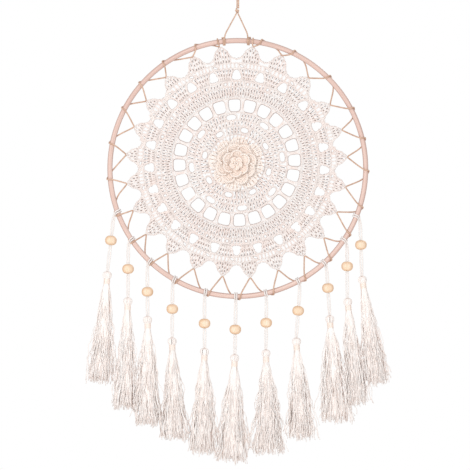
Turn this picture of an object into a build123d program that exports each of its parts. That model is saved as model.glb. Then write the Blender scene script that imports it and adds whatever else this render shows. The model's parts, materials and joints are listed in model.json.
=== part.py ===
from build123d import *
import os
from math import asin, cos, degrees, radians, sin, tan

os.makedirs("parts", exist_ok=True)

# A dream catcher: a cane hoop laced to a crochet doily with a rose, hung from a twine loop,
# with eleven tassels on beaded cotton cords below it. Millimetres.
# The origin is the inside top of the hanging loop. +Z is up and the rose faces -Y.
# Angles around the hoop and the doily are degrees clockwise from the top, seen from the front.

# --- Hoop ---
HOOP_DIAMETER = 350.0
ROD = 7.0
HOOP_DROP = 259.5
RING = (HOOP_DIAMETER - ROD) / 2
HOOP_CENTER = Vector(0, 0, -HOOP_DROP)

# --- Doily, worked in four bands around a centre a little above the hoop's ---
DOILY_CENTER = HOOP_CENTER + Vector(-1.1, 0, 7.8)
DOILY_THICKNESS = 2.4
CENTER_BAND = 66.0
LATTICE_BAND = 88.0
SHELL_BAND = 110.0
BAND_GAP = 0.1
VALLEY_DEPTH = 16.0
TIP_HALF = 0.6
SHOULDER = 3.6
SHOULDER_DROP = 7.0
# Each point of the edge: angle, tip radius, and how far to its left and right its lacing
# meets the hoop, in degrees.
POINTS = [
    (7.8, 156.0, 0.4, 3.4),
    (22.8, 155.0, 3.2, 4.2),
    (40.2, 148.0, 6.0, 6.6),
    (58.2, 146.0, 6.0, 6.4),
    (72.6, 146.0, 3.4, 6.4),
    (87.0, 147.0, 4.0, 6.4),
    (102.6, 148.0, 5.0, 6.8),
    (116.4, 148.0, 3.8, 5.8),
    (130.8, 153.0, 3.0, 4.8),
    (144.0, 153.0, 3.0, 5.4),
    (159.0, 153.0, 4.2, 5.2),
    (173.4, 154.0, 3.8, 5.2),
    (187.2, 152.0, 4.0, 4.8),
    (202.2, 152.0, 5.6, 4.6),
    (217.4, 152.0, 5.6, 2.8),
    (231.8, 154.0, 6.0, 0.8),
    (245.4, 152.0, 6.2, 0.6),
    (259.2, 149.0, 5.4, 3.2),
    (274.2, 148.0, 7.8, 4.2),
    (289.2, 145.0, 6.6, 6.0),
    (304.2, 146.0, 5.4, 4.8),
    (320.4, 148.0, 7.6, 3.0),
    (337.2, 153.0, 9.0, 3.0),
    (351.6, 156.0, 3.2, -0.6),
]
COLUMNS = len(POINTS)
LATTICE_START = 12.6
# Openings: how far out each ring of them is, and half widths and half heights unless named.
FIRST_EYELET_RADIUS = 44.3
FIRST_EYELET = (5.5, 3.6)
SECOND_EYELET_RADIUS = 60.0
SECOND_EYELET = (6.8, 3.4)
WINDOW_RADIUS = 77.0
WINDOW_WIDTH = 15.6
WINDOW_HEIGHT = 17.4
WINDOW_CORNER = 4.0
SLIT_RADIUS = 93.5
SLIT = (1.1, 3.6)
POINT_EYELET_RADIUS = 106.0
POINT_EYELET = (2.1, 2.6)
TEAR_RADIUS = 118.0
TEAR_CORNERS = [(-6.6, -5.6), (6.6, -5.6), (3.0, 5.4), (-3.0, 5.4)]
TEAR_BEND = 2.4
SLOT_RADIUS = 128.4
SLOT_SHIFT = -2.0
SLOT = (3.0, 1.4)
FIRST_EYELETS = [13.2, 60.0, 106.2, 151.8, 195.0, 237.6, 283.0, 328.2]
SECOND_EYELETS = [36.6, 82.8, 129.6, 173.4, 215.4, 264.0, 308.4, 352.8]

# --- Rose: name, outer radius, petals, angle of its first petal ---
ROSE_CENTER = DOILY_CENTER + Vector(-1.0, 0, -1.6)
ROSE_LAYERS = [
    ("rose_back", 37.5, 8, 10.0),
    ("rose_middle", 30.0, 8, 32.0),
    ("rose_front", 21.5, 6, 5.0),
]
PETAL = 2.4
PETAL_CUP = 4.0
PETAL_OVERLAP = 1.25
BUD_RADIUS = 8.0
BUD_BASE = 6.5
BUD_TOP = 4.8
BUD_HEIGHT = 5.0
BUD_BELLY = 0.55

# --- Twine and lacing ---
TWINE = 1.8
LACE = 1.6
LACE_CLEARANCE = 0.45
LACE_APPROACH = 2.5
HOOK_STEP = 0.8
LACE_BENDS = [1.2, 2.4, 2.4, 1.2]
WRAP_CLEARANCE = 0.45
LEG_ANGLES = {"leg_left": -6.3, "leg_right": 4.9}
LEG_TURN = 0.45 * TWINE
LEG_SPREAD = 0.6 * TWINE
LEG_GAP = 0.2
LOOP_HALF_GAP = 0.1
LOOP_BEND = 60.0
NAIL_HALF_WIDTH = 4.9
NAIL_RADIUS = 3.9
LOOP_PARALLEL_TOP = -26.0
KNOT_CENTER = Vector(-0.8, 0, -48.3)
KNOT_HALF_WIDTH = 2.7
KNOT_HALF_HEIGHT = 3.3
KNOT_GAP = 0.3

# --- Pendants: hoop angle, lean of the cord to the right, cord length, cord to the bead's
# middle, lean of the tassel, tassel length, skirt radius at the hem ---
PENDANTS = [
    (250.3, -6.4, 72.6, 31.5, -3.8, 148.5, 15.0),
    (236.3, -0.4, 69.2, 31.6, -1.4, 149.0, 14.5),
    (223.5, 0.4, 64.5, 32.6, 0.3, 145.5, 14.5),
    (209.8, -0.5, 68.5, 30.9, 1.1, 136.0, 15.0),
    (194.7, 0.1, 65.2, 33.0, -0.9, 140.0, 15.0),
    (180.9, -1.0, 67.9, 35.4, -2.0, 142.5, 15.0),
    (167.4, -0.6, 65.8, 30.6, 1.1, 139.5, 15.0),
    (151.8, -4.2, 66.5, 31.0, 2.5, 134.0, 15.0),
    (137.5, 3.8, 61.6, 25.5, 3.3, 142.5, 15.0),
    (123.9, 0.2, 69.4, 27.6, 5.6, 142.0, 13.0),
    (111.9, 1.7, 72.1, 31.1, 8.0, 145.5, 12.5),
]
COTTON = 2.0
HITCH_SPACING = 1.3
HITCH_GAP = 0.02
STANDOFF = 9.0
STRAND_SPACING = 1.05
BEAD_RADIUS = 7.75
BEAD_HALF_HEIGHT = 6.6
BEAD_HOLE = 2.7
TASSEL_GAP = 1.3
HEAD_RADIUS = 5.6
HEAD_HEIGHT = 9.0
HEAD_TOP = 1.0
HEAD_CHEEK = (0.82, 0.26)
HEAD_WIDEST = 0.66
SKIRT_SHOULDER = (0.5, 8.0)
SKIRT_MIDDLE = (0.8, 0.5)
NECK_RADIUS = 3.5
NECK_END = 18.0
BINDING = 1.0


def ray(angle):
    """Unit vector that points from the centre towards this angle on the face."""
    return Vector(sin(radians(angle)), 0, cos(radians(angle)))


def along(angle):
    """Unit tangent of the hoop at this angle, clockwise."""
    return Vector(cos(radians(angle)), 0, -sin(radians(angle)))


def face_plane(origin):
    """Plane of the front, with X to the right, Y up and the normal towards the viewer."""
    return Plane(origin=origin, x_dir=(1, 0, 0), z_dir=(0, -1, 0))


def spoke(radius, angle):
    """Place on a face plane at this radius and angle, with its Y axis pointing outwards."""
    x = radius * sin(radians(angle))
    y = radius * cos(radians(angle))
    return Location((x, y, 0), (0, 0, -angle))


def hoop_angle(doily_angle):
    """Angle on the hoop that a line from the doily's centre meets."""
    offset = DOILY_CENTER - HOOP_CENTER
    return doily_angle + degrees(asin(offset.dot(along(doily_angle)) / RING))


def valley(i):
    """Angle halfway between this point of the doily's edge and the next."""
    this = POINTS[i][0]
    following = POINTS[(i + 1) % COLUMNS][0] + (360 if i + 1 == COLUMNS else 0)
    return (this + following) / 2


def save(name, part):
    part.label = name
    export_step(part, f"parts/{name}.step")


# --- Hoop: one bent cane rod ---
with BuildPart(face_plane(HOOP_CENTER)) as hoop:
    Torus(RING, ROD / 2)
save("hoop", hoop.part)

# --- Doily ---
LATTICE_ANGLES = [LATTICE_START + i * 360 / COLUMNS for i in range(COLUMNS)]
POST_ANGLES = [angle + 180 / COLUMNS for angle in LATTICE_ANGLES]
VALLEYS = [valley(i) for i in range(COLUMNS)]
doily_face = face_plane(DOILY_CENTER)

with BuildPart() as doily_center:
    with BuildSketch(doily_face):
        Circle(CENTER_BAND - BAND_GAP)
        with Locations(*[spoke(FIRST_EYELET_RADIUS, angle) for angle in FIRST_EYELETS]):
            Ellipse(*FIRST_EYELET, mode=Mode.SUBTRACT)
        with Locations(*[spoke(SECOND_EYELET_RADIUS, angle) for angle in SECOND_EYELETS]):
            Ellipse(*SECOND_EYELET, mode=Mode.SUBTRACT)
    extrude(amount=DOILY_THICKNESS / 2, both=True)
save("doily_center", doily_center.part)

with BuildPart() as doily_lattice:
    with BuildSketch(doily_face):
        Circle(LATTICE_BAND - BAND_GAP)
        Circle(CENTER_BAND, mode=Mode.SUBTRACT)
        with Locations(*[spoke(WINDOW_RADIUS, angle) for angle in LATTICE_ANGLES]):
            RectangleRounded(WINDOW_WIDTH, WINDOW_HEIGHT, WINDOW_CORNER, mode=Mode.SUBTRACT)
    extrude(amount=DOILY_THICKNESS / 2, both=True)
save("doily_lattice", doily_lattice.part)

with BuildPart() as doily_shells:
    with BuildSketch(doily_face):
        Circle(SHELL_BAND - BAND_GAP)
        Circle(LATTICE_BAND, mode=Mode.SUBTRACT)
        with Locations(*[spoke(SLIT_RADIUS, angle) for angle in POST_ANGLES]):
            Ellipse(*SLIT, mode=Mode.SUBTRACT)
        with Locations(*[spoke(POINT_EYELET_RADIUS, point[0]) for point in POINTS]):
            Ellipse(*POINT_EYELET, mode=Mode.SUBTRACT)
    extrude(amount=DOILY_THICKNESS / 2, both=True)
save("doily_shells", doily_shells.part)

edge = []
for i, (angle, tip, _, _) in enumerate(POINTS):
    low = (tip + POINTS[(i + 1) % COLUMNS][1]) / 2 - VALLEY_DEPTH
    edge.append(spoke(tip - SHOULDER_DROP, angle - SHOULDER).position)
    edge.append(spoke(tip, angle - TIP_HALF).position)
    edge.append(spoke(tip, angle + TIP_HALF).position)
    edge.append(spoke(tip - SHOULDER_DROP, angle + SHOULDER).position)
    edge.append(spoke(low, VALLEYS[i]).position)

with BuildSketch() as tear:
    with BuildLine():
        FilletPolyline(*TEAR_CORNERS, radius=TEAR_BEND, close=True)
    make_face()

with BuildPart() as doily_points:
    with BuildSketch(doily_face):
        with BuildLine():
            Polyline(*[(corner.X, corner.Y) for corner in edge], close=True)
        make_face()
        Circle(SHELL_BAND, mode=Mode.SUBTRACT)
        with Locations(*[spoke(TEAR_RADIUS, angle) for angle in VALLEYS]):
            add(tear.sketch, mode=Mode.SUBTRACT)
        with Locations(*[spoke(SLOT_RADIUS, angle + SLOT_SHIFT) for angle in VALLEYS]):
            Ellipse(*SLOT, mode=Mode.SUBTRACT)
    extrude(amount=DOILY_THICKNESS / 2, both=True)
save("doily_points", doily_points.part)

# --- Rose: three cupped layers of petals and a bud, each in front of the last ---
rose_axis = Axis(ROSE_CENTER, (0, -1, 0))
depth = DOILY_THICKNESS / 2 + BAND_GAP
for name, radius, petals, first in ROSE_LAYERS:
    spread = tan(radians(180 / petals))
    lobe = radius * spread / (1 + spread) * PETAL_OVERLAP
    with BuildPart() as layer:
        with BuildSketch(Plane(origin=ROSE_CENTER, x_dir=(1, 0, 0), z_dir=(0, 0, 1))):
            with BuildLine():
                Polyline(
                    (0, -depth),
                    (radius / 2, -depth),
                    (radius, -depth - PETAL_CUP),
                    (radius, -depth - PETAL_CUP - PETAL),
                    (radius / 2, -depth - PETAL),
                    (0, -depth - PETAL),
                    close=True,
                )
            make_face()
        revolve(axis=rose_axis)
        with BuildSketch(face_plane(ROSE_CENTER)):
            Circle(radius - lobe)
            with Locations(*[spoke(radius - lobe, first + i * 360 / petals) for i in range(petals)]):
                Circle(lobe)
        extrude(amount=depth + PETAL_CUP + PETAL, mode=Mode.INTERSECT)
    save(name, layer.part)
    depth += PETAL + BAND_GAP

with BuildPart() as rose_bud:
    with BuildSketch(Plane(origin=ROSE_CENTER, x_dir=(1, 0, 0), z_dir=(0, 0, 1))):
        with BuildLine():
            Polyline((0, -depth - BUD_HEIGHT), (0, -depth), (BUD_BASE, -depth))
            ThreePointArc(
                (BUD_BASE, -depth),
                (BUD_RADIUS, -depth - BUD_HEIGHT * BUD_BELLY),
                (BUD_TOP, -depth - BUD_HEIGHT),
            )
            Line((BUD_TOP, -depth - BUD_HEIGHT), (0, -depth - BUD_HEIGHT))
        make_face()
    revolve(axis=rose_axis)
save("rose_bud", rose_bud.part)


# --- Lacing: from each point's tip over the front of the rod, around its outside, down
# behind it to the next point's tip. Its two ends hook over the rod beside the hanger. ---
def rod_side(angle, out, depth):
    """Point beside the rod where a line from the doily's centre at this angle meets it."""
    return HOOP_CENTER + ray(hoop_angle(angle)) * (RING + out) + Vector(0, depth, 0)


over = ROD / 2 + LACE / 2 + LACE_CLEARANCE
lace_routes = []
for (angle, tip, _, right), (next_angle, next_tip, next_left, _) in zip(POINTS, POINTS[1:]):
    rise = angle + right
    fall = next_angle - next_left
    lace_routes.append(
        [
            DOILY_CENTER + ray(angle) * (tip + LACE),
            rod_side(rise, -LACE_APPROACH, -over),
            rod_side(rise, over, -over),
            rod_side(rise + HOOK_STEP, over, over),
            rod_side(fall, -LACE_APPROACH, over),
            DOILY_CENTER + ray(next_angle) * (next_tip + LACE),
        ]
    )
first_angle, first_tip, first_left, _ = POINTS[0]
last_angle, last_tip, _, last_right = POINTS[-1]
for angle, tip, hook in (
    (first_angle, first_tip, first_angle - first_left),
    (last_angle, last_tip, last_angle + last_right),
):
    lace_routes.append(
        [
            DOILY_CENTER + ray(angle) * (tip + LACE),
            rod_side(hook, -LACE_APPROACH, -over),
            rod_side(hook, over, -over),
            rod_side(hook, over, over),
            rod_side(hook, -LACE_APPROACH, over),
        ]
    )

with BuildPart() as lacing:
    for route in lace_routes:
        with BuildLine() as wrap_line:
            FilletPolyline(*route, radius=LACE_BENDS[: len(route) - 2])
        with BuildSketch(Plane(origin=route[0], z_dir=route[1] - route[0])):
            Circle(LACE / 2)
        sweep(path=wrap_line.wire())
save("lacing", lacing.part)

# --- Hanger: loop, knot, and two legs that wrap the rod ---
loop_side = TWINE / 2 + LOOP_HALF_GAP
loop_foot = KNOT_CENTER.Z + KNOT_HALF_HEIGHT + KNOT_GAP
loop_route = [
    Vector(-loop_side, 0, loop_foot),
    Vector(-loop_side, 0, LOOP_PARALLEL_TOP),
    Vector(-NAIL_HALF_WIDTH, 0, TWINE / 2),
    Vector(NAIL_HALF_WIDTH, 0, TWINE / 2),
    Vector(loop_side, 0, LOOP_PARALLEL_TOP),
    Vector(loop_side, 0, loop_foot),
]
with BuildPart() as hanger_loop:
    with BuildLine() as loop_line:
        FilletPolyline(*loop_route, radius=[LOOP_BEND, NAIL_RADIUS, NAIL_RADIUS, LOOP_BEND])
    with BuildSketch(Plane(origin=loop_route[0], z_dir=(0, 0, 1))):
        Circle(TWINE / 2)
    sweep(path=loop_line.wire())
save("hanger_loop", hanger_loop.part)

with BuildPart() as hanger_knot:
    with BuildSketch(face_plane(KNOT_CENTER)):
        Ellipse(KNOT_HALF_WIDTH, KNOT_HALF_HEIGHT)
        with Locations((-KNOT_HALF_WIDTH / 2, 0)):
            Rectangle(KNOT_HALF_WIDTH, 2 * KNOT_HALF_HEIGHT, mode=Mode.SUBTRACT)
    revolve(axis=Axis(KNOT_CENTER, (0, 0, 1)))
save("hanger_knot", hanger_knot.part)

wrap_radius = ROD / 2 + WRAP_CLEARANCE + TWINE / 2
for name, angle in LEG_ANGLES.items():
    side = -1 if angle < 0 else 1
    wrap_center = HOOP_CENTER + ray(angle) * RING
    top = KNOT_CENTER + Vector(side * LEG_SPREAD, 0, -KNOT_HALF_HEIGHT - LEG_GAP)
    foot = wrap_center + ray(angle) * wrap_radius
    with BuildPart() as leg:
        with BuildSketch(Plane(origin=foot, z_dir=top - foot)):
            Circle(TWINE / 2)
        extrude(amount=(top - foot).length)
        for turn in (-1, 1):
            turn_center = wrap_center + along(angle) * (turn * LEG_TURN)
            with Locations(Plane(origin=turn_center, z_dir=along(angle)).location):
                Torus(wrap_radius, TWINE / 2)
    save(name, leg.part)

# --- Hitches: eleven loops of cotton around the rod, one for each pendant ---
hitch_radius = ROD / 2 + COTTON / 2 + HITCH_GAP
with BuildPart() as hitches:
    for angle, *_ in PENDANTS:
        center = HOOP_CENTER + ray(angle) * RING
        for turn in (-1, 1):
            turn_center = center + along(angle) * (turn * HITCH_SPACING)
            with Locations(Plane(origin=turn_center, z_dir=along(angle)).location):
                Torus(hitch_radius, COTTON / 2)
save("hitches", hitches.part)

# --- Pendants: a doubled cord, a bead on it, and a bound tassel ---
binding_radius = NECK_RADIUS + BAND_GAP + BINDING / 2
for number, (angle, lean, length, to_bead, swing, drop, hem) in enumerate(PENDANTS, 1):
    outwards = (ray(angle) + Vector(0, 0, -1)).normalized()
    top = HOOP_CENTER + ray(angle) * RING + outwards * STANDOFF
    down = ray(180 - lean)
    across = along(-lean)
    up = Vector(0, 0, 0) - down

    with BuildPart() as cord:
        for side in (-1, 1):
            strand_top = top + across * (side * STRAND_SPACING)
            with BuildSketch(Plane(origin=strand_top, x_dir=across, z_dir=down)):
                Circle(COTTON / 2)
            extrude(amount=length)
    save(f"cord_{number:02}", cord.part)

    bead_plane = Plane(origin=top + down * to_bead, x_dir=across, z_dir=(0, -1, 0))
    with BuildPart() as bead:
        with BuildSketch(bead_plane):
            Ellipse(BEAD_RADIUS, BEAD_HALF_HEIGHT)
            with Locations((-BEAD_RADIUS + BEAD_HOLE, 0)):
                Rectangle(2 * BEAD_RADIUS, 2 * BEAD_RADIUS, mode=Mode.SUBTRACT)
        revolve(axis=Axis(bead_plane.origin, up))
    save(f"bead_{number:02}", bead.part)

    tassel_down = ray(180 - swing)
    tassel_up = Vector(0, 0, 0) - tassel_down
    head_top = top + down * length + tassel_down * TASSEL_GAP
    tassel_plane = Plane(origin=head_top, x_dir=along(-swing), z_dir=(0, -1, 0))
    with BuildPart() as tassel:
        with BuildSketch(tassel_plane):
            with BuildLine():
                Line((0, 0), (HEAD_TOP, 0))
                ThreePointArc(
                    (HEAD_TOP, 0),
                    (HEAD_RADIUS * HEAD_CHEEK[0], -HEAD_HEIGHT * HEAD_CHEEK[1]),
                    (HEAD_RADIUS, -HEAD_HEIGHT * HEAD_WIDEST),
                )
                Polyline(
                    (HEAD_RADIUS, -HEAD_HEIGHT * HEAD_WIDEST),
                    (NECK_RADIUS, -HEAD_HEIGHT),
                    (NECK_RADIUS, -NECK_END),
                    (hem * SKIRT_SHOULDER[0], -NECK_END - SKIRT_SHOULDER[1]),
                    (hem * SKIRT_MIDDLE[0], -drop * SKIRT_MIDDLE[1]),
                    (hem, -drop),
                    (0, -drop),
                    (0, 0),
                )
            make_face()
        revolve(axis=Axis(head_top, tassel_up))
    save(f"tassel_{number:02}", tassel.part)

    with BuildPart() as binding:
        with BuildSketch(tassel_plane):
            with Locations((binding_radius, -(HEAD_HEIGHT + NECK_END) / 2)):
                Rectangle(BINDING, NECK_END - HEAD_HEIGHT - 2 * BINDING)
        revolve(axis=Axis(head_top, tassel_up))
    save(f"binding_{number:02}", binding.part)
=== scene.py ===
# %% [markdown]
# # Dream catcher
#
# A cane hoop holds a crochet doily under the pull of one long tan lacing. A crochet rose is
# sewn to the middle. Eleven doubled cotton cords hang from the lower half of the hoop, each
# with a wooden bead and a long frayed tassel, and a twine loop carries everything.
#
# Nearly all of it is yarn, so the lesson is about yarn: one helper turns a list of strand
# lines into a mesh, and another winds plies around a line. Every stitch, cord and thread
# comes from those two.

# %% Load the frame
import json
import random
from math import asin, atan2, cos, degrees, pi, radians, sin, sqrt, tau

import bmesh
import bpy
import numpy as np
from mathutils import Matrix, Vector


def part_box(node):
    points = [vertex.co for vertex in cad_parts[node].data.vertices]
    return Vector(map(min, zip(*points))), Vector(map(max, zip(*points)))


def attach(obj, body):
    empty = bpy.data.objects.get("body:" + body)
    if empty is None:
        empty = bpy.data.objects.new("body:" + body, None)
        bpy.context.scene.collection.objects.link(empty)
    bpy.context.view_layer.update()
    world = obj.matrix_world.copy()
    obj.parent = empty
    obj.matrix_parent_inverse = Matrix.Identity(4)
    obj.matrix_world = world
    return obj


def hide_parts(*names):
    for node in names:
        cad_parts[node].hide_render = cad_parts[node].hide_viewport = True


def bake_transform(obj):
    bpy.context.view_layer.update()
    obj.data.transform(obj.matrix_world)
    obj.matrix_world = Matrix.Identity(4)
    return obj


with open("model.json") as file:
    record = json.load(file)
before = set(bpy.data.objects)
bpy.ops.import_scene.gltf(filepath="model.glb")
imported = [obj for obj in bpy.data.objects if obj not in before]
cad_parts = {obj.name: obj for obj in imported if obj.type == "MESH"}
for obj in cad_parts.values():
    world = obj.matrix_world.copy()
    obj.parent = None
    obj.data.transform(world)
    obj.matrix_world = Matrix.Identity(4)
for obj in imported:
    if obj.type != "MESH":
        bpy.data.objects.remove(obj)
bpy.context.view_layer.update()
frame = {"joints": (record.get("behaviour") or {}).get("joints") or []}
MM = 0.001
JOINTS = {joint["name"]: joint for joint in frame["joints"]}

# %% [markdown]
# ## The camera
#
# Something flat is seen best square on and through a long lens, so that the hoop stays a
# circle. The camera stands 2.5 m in front of the doily, just below its middle, so that the
# tassels are in view too.

# %% Camera
VIEW_CENTER = Vector((-0.00375, 0, -0.3487))
VIEW_WIDTH = 0.6303
CAMERA_DISTANCE = 2.5
SENSOR = 36.0

camera = bpy.data.objects.new("camera", bpy.data.cameras.new("camera"))
bpy.context.collection.objects.link(camera)
camera.data.sensor_width = SENSOR
camera.data.lens = SENSOR * CAMERA_DISTANCE / VIEW_WIDTH
camera.location = VIEW_CENTER + Vector((0, -CAMERA_DISTANCE, 0))
camera.rotation_euler = (pi / 2, 0, 0)
bpy.context.scene.camera = camera
print("lens", round(camera.data.lens, 1), "mm")

# %% [markdown]
# ## Finishes
#
# Everything here is a dull natural material: spun cotton, jute twine, cane and bare wood. Two
# effects repeat. Fibres give yarn its slightly uneven tone and its soft bump, and grain gives
# cane and beads their streaks. Each is a node group that puts out a tone and a height, and
# each material mixes its own colours with them.
# Most materials also mix in painted shade: a darker colour where the surface turns away, and on strands
# marked as lying deep in the cloth.

# %% A colour picked on screen, as the renderer wants it
def paint(red, green, blue):
    """Screen colour, 0 to 255, as a linear one with alpha."""
    linear = []
    for part in (red, green, blue):
        c = part / 255
        linear.append(c / 12.92 if c <= 0.04045 else ((c + 0.055) / 1.055) ** 2.4)
    return (*linear, 1.0)


# %% The fibre group and the grain group
def noise(tree, vector, scale, detail):
    """A noise texture's value output, read at this vector and scale."""
    node = tree.nodes.new("ShaderNodeTexNoise")
    node.inputs["Detail"].default_value = detail
    tree.links.new(vector, node.inputs["Vector"])
    tree.links.new(scale, node.inputs["Scale"])
    return node.outputs["Fac"]


def calculate(tree, operation, first, second):
    """One sum between sockets or plain numbers."""
    node = tree.nodes.new("ShaderNodeMath")
    node.operation = operation
    for socket, value in zip(node.inputs, (first, second)):
        if isinstance(value, (int, float)):
            socket.default_value = value
        else:
            tree.links.new(value, socket)
    return node.outputs[0]


def pattern(name, fine, detail, fine_share, broad):
    """A group that mixes fine and broad noise into a tone. The fine noise is also its height.

    fine and broad are each the label and the usual value of a scale.
    """
    tree = bpy.data.node_groups.new(name, "ShaderNodeTree")
    tree.interface.new_socket("Vector", in_out="INPUT", socket_type="NodeSocketVector")
    for label, value in (fine, broad):
        socket = tree.interface.new_socket(label, in_out="INPUT", socket_type="NodeSocketFloat")
        socket.default_value = value
    for label in ("Tone", "Height"):
        tree.interface.new_socket(label, in_out="OUTPUT", socket_type="NodeSocketFloat")
    given = tree.nodes.new("NodeGroupInput").outputs
    result = tree.nodes.new("NodeGroupOutput").inputs
    fine_noise = noise(tree, given["Vector"], given[fine[0]], detail)
    broad_noise = noise(tree, given["Vector"], given[broad[0]], 2.0)
    fine_part = calculate(tree, "MULTIPLY", fine_noise, fine_share)
    broad_part = calculate(tree, "MULTIPLY", broad_noise, 1 - fine_share)
    tree.links.new(calculate(tree, "ADD", fine_part, broad_part), result["Tone"])
    tree.links.new(fine_noise, result["Height"])
    return tree


FIBRE_SIZE = 2600.0
fibres = pattern(
    "spun fibre", ("Fibres per metre", FIBRE_SIZE), 4.0, 0.55, ("Patches per metre", 60.0)
)
grain = pattern("grain", ("Streaks per metre", 900.0), 5.0, 0.6, ("Mottle per metre", 90.0))
print("groups", len(bpy.data.node_groups))


# %% A material made of one of those groups
# Painted shade at an edge begins once the surface has turned this far away.
EDGE_SHADE_START = 0.08
MIX_SHARE, MIX_FIRST, MIX_SECOND = 0, 6, 7
MIX_RESULT = 2
TONE_ENDS = (0.38, 0.60)
ROUGH_SPREAD = 0.08


def painted_edge_shade(tree, color, edge):
    """Painted shade: thread darkens where its surface turns away, and where it lies deep in the cloth.

    How deep is the piece's own attribute, shade, from 0 to 1. A piece without it has none.
    """
    turn = tree.nodes.new("ShaderNodeLayerWeight")
    turn.inputs["Blend"].default_value = 0.5
    share = tree.nodes.new("ShaderNodeMapRange")
    share.inputs["From Min"].default_value = EDGE_SHADE_START
    share.inputs["From Max"].default_value = 1.0
    mix = tree.nodes.new("ShaderNodeMix")
    mix.data_type = "RGBA"
    mix.inputs[MIX_SECOND].default_value = edge
    deep = tree.nodes.new("ShaderNodeAttribute")
    deep.attribute_name = "shade"
    tree.links.new(turn.outputs["Facing"], share.inputs["Value"])
    darkest = calculate(tree, "MAXIMUM", share.outputs["Result"], deep.outputs["Fac"])
    tree.links.new(darkest, mix.inputs[MIX_SHARE])
    tree.links.new(color, mix.inputs[MIX_FIRST])
    return mix.outputs[MIX_RESULT]


def finish_material(name, tree, dark, light, vector, values, roughness, bump, sheen=0.0, edge=None):
    """A material whose colour, roughness and bump follow a group's tone and height.

    dark and light are the two ends of its colour. vector makes the group's vector socket
    from the material's nodes, and values are the group's other inputs. edge, if given, is a
    painted shade colour, mixed in where the surface turns away and on strands lying deep.
    """
    material = bpy.data.materials.new(name)
    material.use_nodes = True
    nodes = material.node_tree.nodes
    links = material.node_tree.links
    shader = nodes["Principled BSDF"]
    effect = nodes.new("ShaderNodeGroup")
    effect.node_tree = tree
    links.new(vector(material.node_tree), effect.inputs["Vector"])
    for label, value in values.items():
        effect.inputs[label].default_value = value

    ramp = nodes.new("ShaderNodeValToRGB")
    for element, position, tone in zip(ramp.color_ramp.elements, TONE_ENDS, (dark, light)):
        element.position = position
        element.color = tone
    links.new(effect.outputs["Tone"], ramp.inputs["Fac"])
    color = ramp.outputs["Color"]
    # Painted shade: the edge colour at turned-away surfaces and on deep strands.
    if edge:
        color = painted_edge_shade(material.node_tree, color, edge)
    links.new(color, shader.inputs["Base Color"])

    rough = nodes.new("ShaderNodeMapRange")
    rough.inputs["To Min"].default_value = min(1.0, roughness + ROUGH_SPREAD)
    rough.inputs["To Max"].default_value = roughness - ROUGH_SPREAD
    links.new(effect.outputs["Tone"], rough.inputs["Value"])
    links.new(rough.outputs["Result"], shader.inputs["Roughness"])

    relief = nodes.new("ShaderNodeBump")
    relief.inputs["Strength"].default_value = 0.5
    relief.inputs["Distance"].default_value = bump
    links.new(effect.outputs["Height"], relief.inputs["Height"])
    links.new(relief.outputs["Normal"], shader.inputs["Normal"])

    shader.inputs["Specular IOR Level"].default_value = 0.25
    shader.inputs["Sheen Weight"].default_value = sheen
    shader.inputs["Sheen Roughness"].default_value = 0.5
    return material


def everywhere(tree):
    """The pattern sits still in space, the same in every direction."""
    return tree.nodes.new("ShaderNodeTexCoord").outputs["Object"]


def streaked(scale):
    """The pattern is stretched along the axis with the smallest of these three numbers."""
    def vector(tree):
        node = tree.nodes.new("ShaderNodeMapping")
        node.inputs["Scale"].default_value = scale
        tree.links.new(everywhere(tree), node.inputs["Vector"])
        return node.outputs["Vector"]

    return vector


YARN_BUMP = 0.00025
YARN = {"Fibres per metre": FIBRE_SIZE, "Patches per metre": 45.0}
# Its last colour is painted shade: grey-brown at thread edges and on strands deep in the cloth.
crochet_cotton = finish_material(
    "crochet cotton", fibres, paint(254, 238, 231), paint(255, 249, 245),
    everywhere, YARN, 0.85, YARN_BUMP, 0.1, paint(150, 124, 116),
)
# Its last colour is painted shade, tan at the thread edges of the petals.
rose_cotton = finish_material(
    "rose cotton", fibres, paint(255, 243, 234), paint(255, 250, 245),
    everywhere, YARN, 0.85, YARN_BUMP, 0.1, paint(246, 218, 200),
)
# Its last colour is painted shade at the cord's edges.
cord_cotton = finish_material(
    "cord cotton", fibres, paint(252, 244, 239), paint(255, 253, 251),
    everywhere, YARN, 0.85, YARN_BUMP, 0.1, paint(190, 172, 166),
)
jute = finish_material(
    "jute twine", fibres, paint(190, 152, 128), paint(226, 194, 172),
    everywhere, {"Fibres per metre": 3200.0, "Patches per metre": 150.0}, 0.9, YARN_BUMP, 0.1,
)
# Its last colour is painted shade at the threads' edges.
tassel_cotton = finish_material(
    "tassel thread", fibres, paint(255, 247, 242), paint(255, 254, 253),
    streaked((1.0, 1.0, 0.02)), {"Fibres per metre": 1400.0, "Patches per metre": 420.0},
    0.8, YARN_BUMP, 0.1, paint(246, 225, 216),
)
# Its last colour is painted shade where the bead's surface turns away.
birch = finish_material(
    "birch", grain, paint(238, 208, 176), paint(252, 232, 210),
    streaked((1.0, 1.0, 0.16)), {"Streaks per metre": 1500.0, "Mottle per metre": 160.0},
    0.5, 0.00008, 0.0, paint(226, 172, 118),
)

# %% Cane runs around the hoop, so its grain is read around the hoop too
def rect(node):
    """A node's lowest corner, highest corner and middle."""
    low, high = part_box(node)
    return low, high, (low + high) / 2


hoop_low, hoop_high, HOOP = rect("hoop")
ROD = (hoop_high.y - hoop_low.y) / 2
RING = (hoop_high.z - hoop_low.z) / 2 - ROD
CANE_STRETCH = 0.012


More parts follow.
